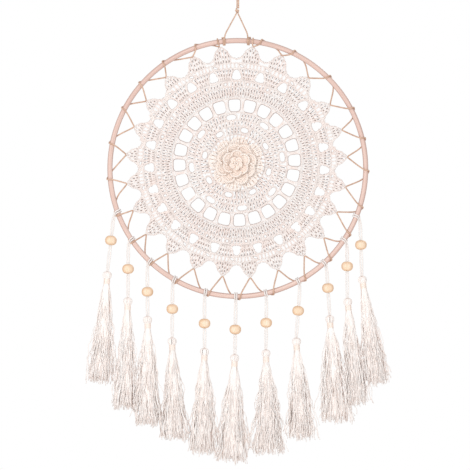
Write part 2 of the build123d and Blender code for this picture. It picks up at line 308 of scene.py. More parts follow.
def around_hoop(tree):
    """Coordinates that go around the hoop: distance from its middle, depth, and a slow turn."""
    centred = tree.nodes.new("ShaderNodeMapping")
    centred.inputs["Location"].default_value = -HOOP
    tree.links.new(everywhere(tree), centred.inputs["Vector"])
    parts = tree.nodes.new("ShaderNodeSeparateXYZ")
    tree.links.new(centred.outputs["Vector"], parts.inputs["Vector"])
    x, y, z = parts.outputs
    squares = calculate(tree, "ADD", calculate(tree, "MULTIPLY", x, x), calculate(tree, "MULTIPLY", z, z))
    reach = calculate(tree, "SQRT", squares, 0)
    turn = calculate(tree, "MULTIPLY", calculate(tree, "ARCTAN2", x, z), RING * CANE_STRETCH)
    joined = tree.nodes.new("ShaderNodeCombineXYZ")
    for socket, value in zip(joined.inputs, (reach, y, turn)):
        tree.links.new(value, socket)
    return joined.outputs["Vector"]


# Its last colour is painted shade along the rod's turned-away edges.
cane_skin = finish_material(
    "peeled cane", grain, paint(215, 183, 172), paint(235, 209, 198),
    around_hoop, {"Streaks per metre": 1100.0, "Mottle per metre": 260.0},
    0.5, 0.00006, 0.0, paint(178, 138, 126),
)
print("materials", len(bpy.data.materials))

# %% [markdown]
# ## Yarn
#
# A strand is a line with a thickness. A curve object can hold thousands of such lines, gives
# them all the same round section, closes their ends, and turns into one mesh. That is far
# lighter to write than sweeping a circle along each line, and it lays the UV map along each
# strand for free.
#
# Cord is plies wound around a line. To wind them, each point of the line gets a frame of two
# directions across it, carried along so that it never spins by itself.

# %% Strands to mesh
# Twice this, plus four, is the number of sides of a strand.
STRAND_SIDES = 1
WELD = 1e-7


def place(obj, body, slot, material, *nodes):
    """Puts a finished piece on its body with its material, and hides the parts it stands for.

    slot is not used.
    """
    obj.data.materials.clear()
    obj.data.materials.append(material)
    if body:
        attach(obj, body)
    if nodes:
        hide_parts(*nodes)
    return obj


def as_object(name, mesh):
    obj = bpy.data.objects.new(name, mesh)
    bpy.context.collection.objects.link(obj)
    return obj


def baked(curve):
    """The curve as a mesh. The curve itself goes."""
    holder = bpy.data.objects.new(curve.name, curve)
    mesh = bpy.data.meshes.new_from_object(holder)
    bpy.data.objects.remove(holder)
    bpy.data.curves.remove(curve)
    return mesh


def strands_mesh(name, strands, radius, sides=STRAND_SIDES):
    """One mesh of round strands. strands is a list of point arrays, in metres."""
    curve = bpy.data.curves.new(name, "CURVE")
    curve.dimensions = "3D"
    curve.bevel_depth = radius
    curve.bevel_resolution = sides
    curve.use_fill_caps = True
    for points in strands:
        spline = curve.splines.new("POLY")
        spline.points.add(len(points) - 1)
        flat = np.ones((len(points), 4))
        flat[:, :3] = points
        spline.points.foreach_set("co", flat.ravel())
    mesh = baked(curve)
    shape = bmesh.new()
    shape.from_mesh(mesh)
    bmesh.ops.remove_doubles(shape, verts=shape.verts, dist=WELD)
    shape.to_mesh(mesh)
    shape.free()
    mesh.name = name
    return mesh


# %% Even spacing, and plies wound around a line
def lengths(points):
    """Distance along the line to each of its points."""
    runs = np.linalg.norm(np.diff(points, axis=0), axis=1)
    return np.concatenate([[0.0], np.cumsum(runs)])


def resample(points, step):
    """The same line with its points evenly spaced, about this far apart."""
    points = np.array(points, float)
    marks = lengths(points)
    spots = np.linspace(0, marks[-1], max(3, round(marks[-1] / step) + 1))
    return np.column_stack([np.interp(spots, marks, points[:, axis]) for axis in range(3)])


def ply(points, radius, pitch, phase):
    """A strand that winds around the line, one turn every pitch."""
    tangents = np.gradient(points, axis=0)
    tangents /= np.linalg.norm(tangents, axis=1)[:, None]
    across = np.cross(tangents[0], (0.31, 0.87, 0.38))
    sideways = []
    for tangent in tangents:
        across = across - tangent * across.dot(tangent)
        across /= np.linalg.norm(across)
        sideways.append(across)
    sideways = np.array(sideways)
    other = np.cross(tangents, sideways)
    turn = (lengths(points) / pitch * tau + phase)[:, None]
    return points + radius * (np.cos(turn) * sideways + np.sin(turn) * other)


def plies(points, count, radius, pitch, phase=0.0):
    return [ply(points, radius, pitch, phase + tau * k / count) for k in range(count)]


# %% A cord's route, as the smooth line that its control points make
def cord_line(name, controls, step):
    """Points along the NURBS spline of this route, evenly spaced."""
    curve = bpy.data.curves.new(name, "CURVE")
    curve.dimensions = "3D"
    curve.resolution_u = 16
    spline = curve.splines.new("NURBS")
    spline.points.add(len(controls) - 1)
    for point, control in zip(spline.points, controls):
        point.co = (*control, 1.0)
    spline.order_u = 3
    spline.use_endpoint_u = True
    mesh = baked(curve)
    points = [tuple(vertex.co) for vertex in mesh.vertices]
    bpy.data.meshes.remove(mesh)
    return resample(points, step)


# %% Directions on the face, and around the rod
def ray(angle):
    """Towards this angle from the middle: degrees clockwise from the top, seen from the front."""
    return Vector((sin(radians(angle)), 0, cos(radians(angle))))


def along(angle):
    """Clockwise at this angle."""
    return Vector((cos(radians(angle)), 0, -sin(radians(angle))))


def around_rod(angle, turn, reach):
    """Point around the rod: 0 degrees of turn faces the hoop's middle, 90 faces backwards."""
    inwards, backwards = cos(radians(turn)) * reach, sin(radians(turn)) * reach
    return HOOP + ray(angle) * (RING - inwards) + Vector((0, backwards, 0))


# %% [markdown]
# ## The lacing
#
# One tan twine joins the doily to the hoop. From each point of the doily it crosses the front
# of the rod, goes around its outside, comes back behind it, and drops to the next point. It
# is the longest cord here and it is pulled tight, so its runs are straight and it only bends
# at the points and around the rod. Each corner gets a control point a few millimetres either
# side of it, which keeps the smooth line tight there.

# %% Where the points of the doily are
# Each point: its angle, its radius in millimetres, and how many degrees to its left and to its
# right the twine goes over the rod.
POINTS = [
    (7.8, 156.0, 0.4, 3.4), (22.8, 155.0, 3.2, 4.2), (40.2, 148.0, 6.0, 6.6),
    (58.2, 146.0, 6.0, 6.4), (72.6, 146.0, 3.4, 6.4), (87.0, 147.0, 4.0, 6.4),
    (102.6, 148.0, 5.0, 6.8), (116.4, 148.0, 3.8, 5.8), (130.8, 153.0, 3.0, 4.8),
    (144.0, 153.0, 3.0, 5.4), (159.0, 153.0, 4.2, 5.2), (173.4, 154.0, 3.8, 5.2),
    (187.2, 152.0, 4.0, 4.8), (202.2, 152.0, 5.6, 4.6), (217.4, 152.0, 5.6, 2.8),
    (231.8, 154.0, 6.0, 0.8), (245.4, 152.0, 6.2, 0.6), (259.2, 149.0, 5.4, 3.2),
    (274.2, 148.0, 7.8, 4.2), (289.2, 145.0, 6.6, 6.0), (304.2, 146.0, 5.4, 4.8),
    (320.4, 148.0, 7.6, 3.0), (337.2, 153.0, 9.0, 3.0), (351.6, 156.0, 3.2, -0.6),
]
COLUMNS = len(POINTS)
DOILY = rect("doily_center")[2]
LACE = 1.9 * MM
LACE_OVER = ROD + LACE * 0.44
LACE_WIND = LACE * 0.26
LACE_PLY = LACE * 0.31
IN_TIP = LACE * 0.3
HOOK_STEP = 0.8
LACE_APPROACH = 2.5 * MM
LACE_STRAIGHT = 5 * MM
LACE_PITCH = 5.0 * MM


def hoop_angle(angle):
    """Angle on the hoop that a line from the doily's middle at this angle meets."""
    return angle + degrees(asin((DOILY - HOOP).dot(along(angle)) / RING))


def rod_side(angle, out, depth):
    """Point beside the rod, this far outwards and this deep."""
    return HOOP + ray(hoop_angle(angle)) * (RING + out) + Vector((0, depth, 0))


def towards(start, end, reach):
    """Point on the way from start to end, this far from the start."""
    return start + (end - start).normalized() * reach


def tip(i):
    """Where the twine goes through a point of the doily."""
    angle, radius = POINTS[i][:2]
    return DOILY + ray(angle) * (radius * MM + IN_TIP)


def over_rod(rise, fall, step):
    """Over the rod: up in front at one angle, around its outside and down behind at another."""
    return [
        rod_side(rise, -LACE_APPROACH, -LACE_OVER), rod_side(rise, LACE_OVER, -LACE_OVER),
        rod_side(rise + step, LACE_OVER, LACE_OVER), rod_side(fall, -LACE_APPROACH, LACE_OVER),
    ]


# %% Lace it
first_hook = POINTS[0][0] - POINTS[0][2]
lace_route = over_rod(first_hook, first_hook, 0)[::-1]
for i in range(COLUMNS):
    last = i == COLUMNS - 1
    rise = POINTS[i][0] + POINTS[i][3]
    fall = rise if last else POINTS[i + 1][0] - POINTS[i + 1][2]
    over = over_rod(rise, fall, 0 if last else HOOK_STEP)
    lace_route += [
        towards(tip(i), lace_route[-1], LACE_STRAIGHT), tip(i),
        towards(tip(i), over[0], LACE_STRAIGHT), *over,
    ]

lace_line = cord_line("lacing", lace_route, 0.7 * MM)
lace_mesh = strands_mesh("lacing_twine", plies(lace_line, 3, LACE_WIND, LACE_PITCH), LACE_PLY)
lacing = as_object("lacing_twine", lace_mesh)
place(lacing, "frame", "twine", jute, "lacing")
print("lacing", round(lengths(lace_line)[-1], 3), "m")

# %% [markdown]
# ## The hanger
#
# A doubled length of the same twine, a little thicker. Its loop goes over a nail, a small
# overhand knot gathers it, and its two legs spread to the rod and wind twice around it. The
# loop hangs between its nail and the knot.

# %% Loop, knot and legs
TWINE = 1.8 * MM
TWINE_PITCH = 5.5 * MM
TWINE_WIND = TWINE * 0.24
TWINE_PLY = TWINE * 0.35
_, knot_top, KNOT = rect("hanger_knot")


def twine(name, controls, body, *nodes):
    """A length of two-ply twine along this route, and the points it follows."""
    line = cord_line(name, controls, 0.6 * MM)
    mesh = strands_mesh(name, plies(line, 2, TWINE_WIND, TWINE_PITCH), TWINE_PLY)
    return place(as_object(name, mesh), body, "twine", jute, *nodes), line


LOOP_TOP = 0.9 * MM
NAIL_HALF = 4.9 * MM
LOOP_CLOSE = -26 * MM
SIDE_BY_SIDE = 1.0 * MM
half_loop = [
    Vector((SIDE_BY_SIDE, 0, knot_top.z + 0.3 * MM)),
    Vector((SIDE_BY_SIDE, 0, LOOP_CLOSE - 6 * MM)),
    Vector((SIDE_BY_SIDE * 1.2, 0, LOOP_CLOSE)),
    Vector((NAIL_HALF * 0.85, 0, -7 * MM)),
    Vector((NAIL_HALF, 0, LOOP_TOP)),
]
loop_route = [Vector((-point.x, 0, point.z)) for point in half_loop] + half_loop[::-1]
loop, loop_line = twine("nail_loop", loop_route, None, "hanger_loop")

KNOT_ROUTE = [
    (-1.0, 0.2, 3.6), (-1.5, -0.9, 1.8), (-0.2, -1.7, 0.2), (1.7, -0.9, -1.2), (1.4, 0.9, -1.9),
    (-0.8, 1.5, -0.9), (-2.2, 0.6, 0.4), (-1.6, -1.2, 1.4), (0.4, -1.6, 1.5), (2.0, -0.4, 0.6),
    (1.6, 1.3, -0.2), (-0.2, 1.6, 0.8), (-1.2, 0.4, -0.6), (-0.6, -0.8, -2.0), (-1.0, 0.0, -3.6),
]
knot, _ = twine("loop_knot", [KNOT + Vector(p) * MM for p in KNOT_ROUTE], "sling", "hanger_knot")

LEGS = {"leg_left": -6.3, "leg_right": 4.9}
WRAP = (ROD + TWINE * 0.59 + 0.4 * MM) * 1.08
WRAP_STEPS = 8
WRAP_TURNS = 2.0
WRAP_START = 207
for name, angle in LEGS.items():
    side = -1 if angle < 0 else 1
    top = KNOT + Vector((side * 1.0, 0, -3.2)) * MM
    foot = around_rod(angle, 180, WRAP)
    route = [top, top.lerp(foot, 0.5), towards(foot, top, 5 * MM)]
    for k in range(round(WRAP_STEPS * WRAP_TURNS) + 1):
        shift = side * TWINE * (k / WRAP_STEPS - WRAP_TURNS / 2)
        turn = WRAP_START + 360 * k / WRAP_STEPS
        route.append(around_rod(angle, turn, WRAP) + along(angle) * shift)
    leg, leg_line = twine(f"hanger_{name}", route, "sling", name)

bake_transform(loop)
print("loop", round(lengths(loop_line)[-1], 3), "m")

# %% [markdown]
# ## The pendant cords
#
# Each pendant is one length of cotton cord folded in half. The fold goes behind the rod and
# both halves come over its inner side and down its front, so each half is a strand of its
# own with a straight run under it. The bead and the tassel hang on those two strands. A
# strand's top stays with the hoop and the rest swings about its pivot, but each strand mesh here stays
# still.

# %% Both strands of every pendant, and the fold behind the rod
PENDANT_ANGLES = [250.3, 236.3, 223.5, 209.8, 194.7, 180.9, 167.4, 151.8, 137.5, 123.9, 111.9]
COTTON = 2.0 * MM
COTTON_PLIES = 3
COTTON_PLY = COTTON * 0.26
COTTON_PITCH = 6.5 * MM
HITCH_HALF = 1.3 * MM
STRAND_HALF = 1.05 * MM
IN_HEAD = 2.5 * MM
FOLD_REACH = ROD + COTTON / 2 + 0.1 * MM
FOLD_TURN = 165
HITCH_REACH = FOLD_REACH * 1.06
HITCH_TURNS = [140, 100, 55, 10, -35, -75, -110]
BOW = (0.55, 0.70)
BY_BEAD = 0.09


def rope(name, controls):
    """Three-ply cotton cord along this route, and the points it follows."""
    line = cord_line(name, controls, 0.8 * MM)
    mesh = strands_mesh(name, plies(line, COTTON_PLIES, COTTON_PLY, COTTON_PITCH), COTTON_PLY)
    return as_object(name, mesh), line


def hangs_between(number):
    """The two pivots of a pendant: at its hitch, and at the top of its tassel."""
    return [
        Vector(JOINTS[f"{joint}_swing_{number:02}"]["pos_m"]) for joint in ("strand", "tassel")
    ]


strand_length = 0
for number, angle in enumerate(PENDANT_ANGLES, 1):
    pivot, end = hangs_between(number)
    down = (end - pivot).normalized()
    across = Vector((-down.z, 0, down.x))
    tangent = -along(angle)
    bead = rect(f"bead_{number:02}")[2]
    random.seed(100 + number)
    halves = []
    for side, label in ((-1, "left"), (1, "right")):
        hitch = [
            around_rod(angle, turn, HITCH_REACH) + tangent * (side * HITCH_HALF)
            for turn in HITCH_TURNS
        ]
        top = pivot + across * (side * STRAND_HALF)
        bottom = end + across * (side * STRAND_HALF) + down * IN_HEAD
        bow = across * side * random.uniform(*BOW) * MM
        at_bead = (bead - pivot).dot(down) / (bottom - top).dot(down)
        route = [
            *hitch, top, top.lerp(bottom, at_bead * 0.5) + bow,
            top.lerp(bottom, at_bead - BY_BEAD), top.lerp(bottom, at_bead + BY_BEAD),
            top.lerp(bottom, (at_bead + 1) / 2) + bow, top.lerp(bottom, 0.95), bottom,
        ]
        strand, line = rope(f"cord_{number:02}_{label}", route)
        place(strand, None, "cotton_cord", cord_cotton, f"cord_{number:02}")
        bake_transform(strand)
        halves.append((strand, line, hitch[0]))

    back = around_rod(angle, FOLD_TURN, FOLD_REACH)
    left, right = halves[0][2], halves[1][2]
    fold_route = [
        left, left.lerp(back, 0.6) - tangent * HITCH_HALF, back - tangent * 0.5 * MM,
        back + tangent * 0.5 * MM, right.lerp(back, 0.6) + tangent * HITCH_HALF, right,
    ]
    fold, _ = rope(f"hitch_{number:02}", fold_route)
    place(fold, "frame", "cotton_cord", rose_cotton, "hitches")
    for (strand, line, _), held in zip(halves, ([fold], [])):
        strand_length += lengths(line)[-1]
print("strands", round(strand_length, 3), "m in all")

# %% [markdown]
# ## The hoop
#
# The hoop is one bent cane rod. Spinning a circle around the middle gives it, and a few slow
# waves in the rod's thickness and depth keep it from looking like a machined ring.

# %% Spin the cane
CANE_SIDES = 28
CANE_STEPS = 288
# Each wave: how many there are around the hoop, its size as a share, and where it starts.
CANE_WAVES = [(3, 0.010, 0.4), (7, 0.008, 2.1), (16, 0.006, 5.0)]


def spin_around(shape, axis, steps):
    """Turns what is in the shape once around this axis through the origin."""
    bmesh.ops.spin(
        shape, geom=shape.verts[:] + shape.edges[:], cent=(0, 0, 0), axis=axis, dvec=(0, 0, 0),
        angle=tau, steps=steps, use_merge=True, use_duplicate=False,
    )
    bmesh.ops.recalc_face_normals(shape, faces=shape.faces)


def finished_mesh(name, shape):
    for face in shape.faces:
        face.smooth = True
    mesh = bpy.data.meshes.new(name)
    shape.to_mesh(mesh)
    shape.free()
    return mesh


shape = bmesh.new()
bmesh.ops.create_circle(shape, segments=CANE_SIDES, radius=ROD - 0.04 * MM)
bmesh.ops.translate(shape, verts=shape.verts, vec=(RING, 0, 0))
spin_around(shape, (0, 1, 0), CANE_STEPS)
for vert in shape.verts:
    around = atan2(vert.co.x, vert.co.z)
    core = Vector((sin(around), 0, cos(around))) * RING
    swell = 1 + sum(size * sin(count * around + phase) for count, size, phase in CANE_WAVES)
    vert.co = HOOP + core + (vert.co - core) * swell
cane = as_object("cane_hoop", finished_mesh("cane_hoop", shape))
place(cane, "frame", "cane", cane_skin, "hoop")
print("cane", len(cane.data.polygons), "faces")

# %% [markdown]
# ## The doily
#
# The doily is one cotton thread worked round by round from the middle. Most of it is one
# stitch, the double crochet: a post of two strands that lean around each other, with a third
# strand laid across it, and at its top a link of the chain that runs around the round. So a
# round is a ring of posts with a chain above it, and an opening is a place with no posts and
# a rim of chain around it.
#
# It could be a flat disc with stitches painted on it, but the openings and the light that
# comes between the posts are what makes it lace. Worked in real strands it also looks
# right from behind.

# %% The stitches, in millimetres
STRAND = 0.62
POST_HALF = 0.66
POST_DEPTH = 0.45
POST_TURNS = 0.15
POST_POINTS = 5
POST_SWAY = 0.25
POST_SLANT = 51.3
POST_PHASE = 0.5
BAR_HALF = 1.55
BAR_RISE = 0.5
BAR_REACH = 0.6 * pi
BAR_POINTS = 4
CHAIN_STRAND = 0.54
CHAIN_HALF = 0.8
CHAIN_DEPTH = 0.4
CHAIN_PITCH = 6.0
CHAIN_STEP = 1.0
WEB = 0.46
WEB_LENGTH = 3.0
WEB_PITCH = 6.0
WEB_DEPTH = 0.25
# Painted shade: how much of the darker edge colour the web loops and the rim backings get.
WEB_SHADE = 1.0
RIM_SHADE = 0.6
BACKING_INSET = 0.1
CLOTH_WAVE = 0.3
BACKWARDS = np.array((0, 1, 0))


def on_doily(angle, radius, depth=0.0):
    """Point of the cloth in metres, from degrees and millimetres. It isn't quite flat."""
    wave = sin(radians(3 * angle) + radius / 31) + sin(radians(5 * angle) - radius / 17)
    return DOILY + ray(angle) * radius * MM + Vector((0, (depth + CLOTH_WAVE * wave) * MM, 0))


def between(foot, head, share, depth=0.0):
    """Point of the cloth this share of the way from foot to head, each an angle and a radius."""
    angle = foot[0] + (head[0] - foot[0]) * share
    return on_doily(angle, foot[1] + (head[1] - foot[1]) * share, depth)


def spread(k, count):
    """From -1 for the first of these to 1 for the last."""
    return (k / (count - 1) - 0.5) * 2


def unit(vectors):
    return vectors / np.linalg.norm(vectors, axis=-1, keepdims=True)


def leaning(points, half, depth, turns, phase):
    """Two strands that lean from side to side of the line, and less from front to back."""
    across = np.cross(unit(points[-1] - points[0]), BACKWARDS)
    pair = []
    for side in (0, pi):
        turn = np.linspace(0, turns * tau, len(points))[:, None] + (phase + side)
        pair.append(points + MM * (half * np.cos(turn) * across + depth * np.sin(turn) * BACKWARDS))
    return pair


def post(strands, foot, head, bar=True):
    """A double crochet from foot to head, with the strand that lies across it."""
    sway = random.uniform(-POST_SWAY, POST_SWAY)
    slant = random.uniform(-POST_SLANT, POST_SLANT) / foot[1]
    foot = (foot[0] - slant / 2, foot[1])
    head = (head[0] + slant / 2, head[1])
    steps = np.linspace(0, 1, POST_POINTS)
    line = np.array([between(foot, head, s, sway * sin(pi * s)) for s in steps])
    phase = random.uniform(-POST_PHASE, POST_PHASE)
    strands += leaning(line, POST_HALF, POST_DEPTH, POST_TURNS, phase)
    if bar:
        tangent = unit(line[-1] - line[0])
        across = np.cross(tangent, BACKWARDS)
        turn = np.linspace(-BAR_REACH, BAR_REACH, BAR_POINTS)[:, None]
        hook = BAR_HALF * np.sin(turn) * across - np.cos(turn) * BACKWARDS
        strands.append(line[POST_POINTS // 2] + MM * (hook + turn * BAR_RISE * tangent))


def chain(strands, points, closed=True):
    """A crochet chain along this line: two strands that cross at every link."""
    line = resample(points, CHAIN_STEP * MM)
    links = max(1, round(lengths(line)[-1] / MM / CHAIN_PITCH))
    if closed:
        tangents = np.roll(line[:-1], -1, axis=0) - np.roll(line[:-1], 1, axis=0)
        tangents = np.vstack([tangents, tangents[:1]])
    else:
        tangents = np.gradient(line, axis=0)
    across = np.cross(unit(tangents), BACKWARDS)
    turn = np.linspace(0, links * tau, len(line))[:, None]
    for side in (0, pi):
        swing = CHAIN_HALF * np.sin(turn + side) * across
        strands.append(line + MM * (swing + CHAIN_DEPTH * np.sin(2 * turn + side) * BACKWARDS))


def round_chain(strands, radius):
    steps = np.linspace(0, 360, max(24, round(tau * radius / 2)) + 1)
    chain(strands, np.array([on_doily(angle, radius) for angle in steps]))


def opening(angle, radius, outline, depth=0.0):
    """A closed line around an opening. Its outline is points right and up of the middle."""
    middle = on_doily(angle, radius, depth)
    points = [middle + (along(angle) * x + ray(angle) * y) * MM for x, y in outline]
    return np.array(points + points[:1])


def rim(strands, angle, radius, outline):
    """A chain around an opening."""
    chain(strands, opening(angle, radius, outline))


def backing(strands, angle, radius, outline):
    """A strand behind the rim of an opening, in painted shade, which draws the rim's dark line."""
    strands.append(opening(angle, radius, outline, WEB_DEPTH))


def ellipse(half_width, half_height, power=1.0, taper=0.0, count=28):
    """An oval outline. A power under 1 squares it, and taper makes it wider at the top."""
    outline = []
    for k in range(count):
        x, y = cos(tau * k / count), sin(tau * k / count)
        x = abs(x) ** power * (1 if x > 0 else -1)
        y = abs(y) ** power * (1 if y > 0 else -1)
        outline.append((half_width * x * (1 + taper * y), half_height * y))
    return outline


def web(strands, foot, head):
    """Short loops at the back of a stitch, deep between it and the next one, in painted shade so the gap
    reads dark.
    """
    tall = head[1] - foot[1]
    count = max(1, round(tall / WEB_PITCH))
    half = WEB_LENGTH / 2 / tall
    for k in range(count):
        middle = (k + random.uniform(0.3, 0.7)) / count
        ends = (middle - half, middle + half)
        strands.append(np.array([between(foot, head, s, WEB_DEPTH) for s in ends]))


def doily_piece(name, strands, chains, webs, rims, slot, material, *nodes):
    """One piece of all its strands. Its deep ones get painted shade through the attribute, shade."""
    shape = bmesh.new()
    shade = shape.verts.layers.float.new("shade")
    # Each part's last number is its painted shade, stored in the attribute shade.
    for part, radius, sides, depth in (
        (webs, WEB, 0, WEB_SHADE), (rims, WEB, 0, RIM_SHADE),
        (strands, STRAND, STRAND_SIDES, 0), (chains, CHAIN_STRAND, STRAND_SIDES, 0),
    ):
        if not part:
            continue
        before = len(shape.verts)
        mesh = strands_mesh(name, part, radius * MM, sides)
        shape.from_mesh(mesh)
        bpy.data.meshes.remove(mesh)
        shape.verts.ensure_lookup_table()
        for corner in shape.verts[before:]:
            corner[shade] = depth
    piece = as_object(name, finished_mesh(name, shape))
    place(piece, "frame", slot, material, *nodes)
    print(name, len(piece.data.polygons), "faces")
    return piece


# %% The middle: six rounds with two rings of eyelets
FIRST_EYELETS = [13.2, 60.0, 106.2, 151.8, 195.0, 237.6, 283.0, 328.2]
SECOND_EYELETS = [36.6, 82.8, 129.6, 173.4, 215.4, 264.0, 308.4, 352.8]
# An eyelet: how far out its middle is, and half its width and height.
FIRST_EYELET = (44.3, 5.5, 3.8)
SECOND_EYELET = (61.0, 7.0, 4.2)
EYELET_ROOM = 1.6
RIM_OUT = (0.9, 1.0)
ROUNDED = 0.85
STITCH_LEAN = 0.8
BARRED = (26, 49)
WEB_START = 30
CENTER_EDGE = 66.0
# A round: its inner and outer radius, its stitches, and its eyelets.
CENTER_ROUNDS = [
    (4.5, 15.0, 14, None, None),
    (15.0, 26.5, 28, None, None),
    (26.5, 38.0, 44, None, None),
    (38.0, 49.5, 60, FIRST_EYELETS, FIRST_EYELET),
    (49.5, 57.0, 78, None, None),
    (57.0, CENTER_EDGE, 92, SECOND_EYELETS, SECOND_EYELET),
]


def turned(angle, other):
    """Signed degrees from one angle to another."""
    return (angle - other + 180) % 360 - 180


random.seed(11)
posts, chains, webs, rims = [], [], [], []
round_chain(chains, 4.0)
for inner, outer, count, eyelets, eyelet in CENTER_ROUNDS:
    for k in range(count):
        angle = 360 * k / count + random.uniform(-0.6, 0.6)
        if eyelets:
            room = degrees((eyelet[1] + EYELET_ROOM) / eyelet[0])
            if min(abs(turned(angle, other)) for other in eyelets) < room:
                continue
        foot, head = (angle - STITCH_LEAN, inner), (angle + STITCH_LEAN, outer)
        post(posts, foot, head, bar=BARRED[0] < inner < BARRED[1])
        if inner > WEB_START:
            half = 180 / count
            web(webs, (foot[0] + half, inner), (head[0] + half, outer))
    if eyelets:
        radius, wide, tall = eyelet
        for angle in eyelets:
            rim(chains, angle, radius, ellipse(wide + RIM_OUT[0], tall + RIM_OUT[1], ROUNDED))
            inside = ellipse(wide - BACKING_INSET, tall - BACKING_INSET, ROUNDED)
            backing(rims, angle, radius, inside)
    if outer < CENTER_EDGE:
        round_chain(chains, outer)
doily_center = doily_piece(
    "crochet_center", posts, chains, webs, rims, "crochet", crochet_cotton, "doily_center"
)

# %% The lattice: 24 open windows between slim walls of two strands
LATTICE_START = 12.6
LATTICE_ANGLES = [LATTICE_START + 15 * k for k in range(COLUMNS)]
POST_ANGLES = [angle + 7.5 for angle in LATTICE_ANGLES]
LATTICE = (67.2, 86.8)
WINDOW_RADIUS = 77.0
WINDOW = (8.1, 8.5)
WINDOW_SQUARE = 0.5
WINDOW_TAPER = 0.09
WALL_HALF = 1.0
WALL_FLARE = 3.2
WALL_CURVE = 3.2
WALL_POINTS = 11


def wall(strands, angle):
    """Three strands side by side; the outer two part into the chains, like a slim X."""
    wander = random.uniform(-0.5, 0.5)
    for side in (-1, 0, 1):
        line = []
        for s in np.linspace(-1, 1, WALL_POINTS):
            radius = sum(LATTICE) / 2 + s * (LATTICE[1] - LATTICE[0]) / 2
            out = side * (WALL_HALF + WALL_FLARE * abs(s) ** WALL_CURVE) + wander * (1 - s * s)
            line.append(on_doily(angle, radius, 0.3 * side * cos(pi * s)) + along(angle) * out * MM)
        strands.append(np.array(line))


random.seed(12)
posts, chains, webs, rims = [], [], [], []
for angle in POST_ANGLES:
    wall(posts, angle + random.uniform(-0.5, 0.5))
for radius in LATTICE:
    round_chain(chains, radius)
for angle in LATTICE_ANGLES:
    backing(rims, angle, WINDOW_RADIUS, ellipse(*WINDOW, WINDOW_SQUARE, WINDOW_TAPER))
print("walls", len(POST_ANGLES))

# %% The shells: a fan over every window, then a low round with an eyelet under each point
SHELL_STITCHES = 7
SHELL_FOOT = 6.2
SHELL_HEAD = 6.6
SHELL = (88.2, 101.6)
SHELL_WEB = 1.1
LOW_ROUND = 160
LOW = (102.4, 109.2)
LOW_LEAN = 0.4
EYELET_RADIUS = 105.8
EYELET_HALF = 2.2
EYELET_CLEAR = degrees((EYELET_HALF + 1.2) / 106)

for angle in LATTICE_ANGLES:
    for k in range(SHELL_STITCHES):
        foot = (angle + spread(k, SHELL_STITCHES) * SHELL_FOOT, SHELL[0])
        turn = spread(k, SHELL_STITCHES) * SHELL_HEAD + random.uniform(-0.2, 0.2)
        head = (angle + turn, SHELL[1])
        post(posts, foot, head)
        web(webs, (foot[0] + SHELL_WEB, foot[1]), (head[0] + SHELL_WEB, head[1]))
for k in range(LOW_ROUND):
    angle = 360 * k / LOW_ROUND
    if min(abs(turned(angle, point[0])) for point in POINTS) < EYELET_CLEAR:
        continue
    post(posts, (angle, LOW[0]), (angle + LOW_LEAN, LOW[1]), bar=False)
    half = 180 / LOW_ROUND
    web(webs, (angle + half, LOW[0]), (angle + half + LOW_LEAN, LOW[1]))
for angle, *_ in POINTS:
    rim(chains, angle, EYELET_RADIUS, ellipse(EYELET_HALF + 0.9, 3.4, ROUNDED, 0.1, 18))
    inside = ellipse(EYELET_HALF - BACKING_INSET, 2.4, ROUNDED, 0.1, 18)
    backing(rims, angle, EYELET_RADIUS, inside)
round_chain(chains, 102.0)
round_chain(chains, LOW[1])
doily_middle = doily_piece(
    "crochet_lattice", posts, chains, webs, rims, "crochet", crochet_cotton,
    "doily_lattice", "doily_shells",
)

# %% The edge: how far the cloth reaches at any angle
VALLEY_DEPTH = 16.5
# Shares of the way from a tip to its valley: along the round, and down from the tip.
EDGE = [(0, 0.02), (0.07, 0), (0.28, 0.20), (0.42, 0.40), (0.58, 0.76), (0.78, 0.94), (1, 1)]
LAST_ROUND = 126.4
WAVY_ROUND = 133.6
EDGE_MARGIN = 2.6


def column(i, share):
    """Angle and edge radius this share of the way from a point to its left or right valley."""
    angle, radius = POINTS[i][:2]
    beside, beside_radius = POINTS[(i + (1 if share > 0 else -1)) % COLUMNS][:2]
    valley = (radius + beside_radius) / 2 - VALLEY_DEPTH
    drop = float(np.interp(abs(share), [at for at, _ in EDGE], [down for _, down in EDGE]))
    return angle + abs(share) * turned(beside, angle) / 2, radius - drop * (radius - valley)


def wavy(i, share):
    """Angle and radius of the wavy round under the points."""
    angle, reach = column(i, share)
    return angle, min(WAVY_ROUND, reach - EDGE_MARGIN)


# %% The fans: stitches that spread under each point, with a tear-shaped hole between fans
FAN_FOOT = 110.4
FAN_STITCHES = 6
FAN_SPREAD = (0.40, 0.72)
OVER_FAN = 7
# Each opening: half its width and height, how square it is, and its taper.
TEAR_RADIUS = 118.0
TEAR = (6.9, 8.0, 0.72, -0.36)
TEAR_INSIDE = (6.0, 7.1, 0.72, -0.36)
SLOT_RADIUS = 129.6
SLOT = (4.6, 2.6, 0.9, 0)
SLOT_INSIDE = (0.72, 0.66)
SLOT_LEAN = radians(-32)
SLOT_SHIFT = 0.62
SLOT_ROOM = 0.2


def in_fan(i, share, radius, part):
    """Angle and radius in the fan under a point, at its foot, 0, or its head, 1."""
    return column(i, share * FAN_SPREAD[part])[0], radius


